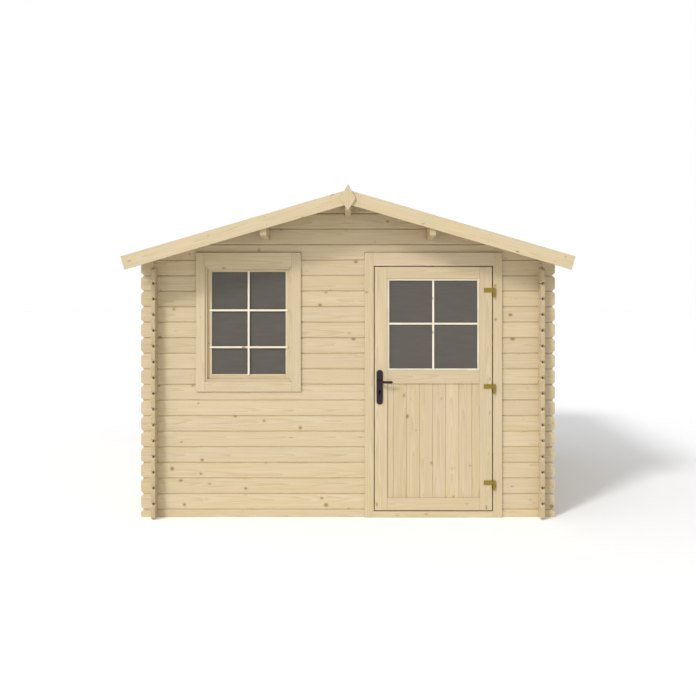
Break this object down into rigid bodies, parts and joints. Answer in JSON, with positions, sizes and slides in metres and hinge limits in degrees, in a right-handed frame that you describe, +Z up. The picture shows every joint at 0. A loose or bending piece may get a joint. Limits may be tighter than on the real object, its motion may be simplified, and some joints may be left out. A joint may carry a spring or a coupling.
{
  "type": "garden shed",
  "caption": "Log-built wooden garden shed with a double-pitched board roof, a part-glazed door that opens outwards and a fixed window.",
  "frame": {"origin": "on the ground, at the centre of the plan", "axes": "+X to the right seen from the front, the front with the door faces -Y, +Z up"},
  "size_m": [3.15, 3.496, 2.3843],
  "materials": {
    "log_spruce": "planed, untreated spruce",
    "roof_spruce": "planed, untreated spruce",
    "floor_spruce": "planed, untreated spruce",
    "trim_spruce": "planed, untreated spruce",
    "door_spruce": "planed, untreated spruce",
    "clear_glass": "clear float glass",
    "gilt_metal": "yellow zinc plated steel",
    "black_metal": "black powder coat"
  },
  "bodies": {
    "shed": {"floor_joists": "floor_spruce", "floor_boards": "floor_spruce", "front_wall_left": "log_spruce", "front_wall_right": "log_spruce", "left_wall": "log_spruce", "right_wall": "log_spruce", "back_wall": "log_spruce", "front_gable": "log_spruce", "back_gable": "log_spruce", "ridge_purlin": "roof_spruce", "side_purlins": "roof_spruce", "roof_left": "roof_spruce", "roof_right": "roof_spruce", "front_bargeboard_left": "trim_spruce", "front_bargeboard_right": "trim_spruce", "back_bargeboard_left": "trim_spruce", "back_bargeboard_right": "trim_spruce", "front_finial": "trim_spruce", "back_finial": "trim_spruce", "door_jambs": "trim_spruce", "door_head": "trim_spruce", "door_sill": "trim_spruce", "hinge_pintles": "gilt_metal", "window_jambs": "trim_spruce", "window_rails": "trim_spruce", "sash_stiles": "trim_spruce", "sash_rails": "trim_spruce", "window_glass": "clear_glass"},
    "door": {"lock_stile": "door_spruce", "hinge_stile": "door_spruce", "door_rails": "door_spruce", "door_panel": "door_spruce", "door_glass": "clear_glass", "door_beads": "door_spruce", "hinge_straps": "gilt_metal", "outside_plate": "black_metal", "inside_plate": "black_metal"},
    "handle": {"lever": "black_metal"}
  },
  "joints": [
    {"name": "door_swing", "type": "hinge", "parent": "shed", "child": "door", "pos_m": [1.05527, -1.437, 0.97], "axis": [0, 0, 1], "range_deg": [0, 130]},
    {"name": "lever_press", "type": "hinge", "parent": "door", "child": "handle", "pos_m": [0.22927, -1.4065, 0.985], "axis": [0, 1, 0], "range_deg": [0, 40], "stiffness_Nm_per_rad": 1.5, "springref_deg": -17.19}
  ]
}
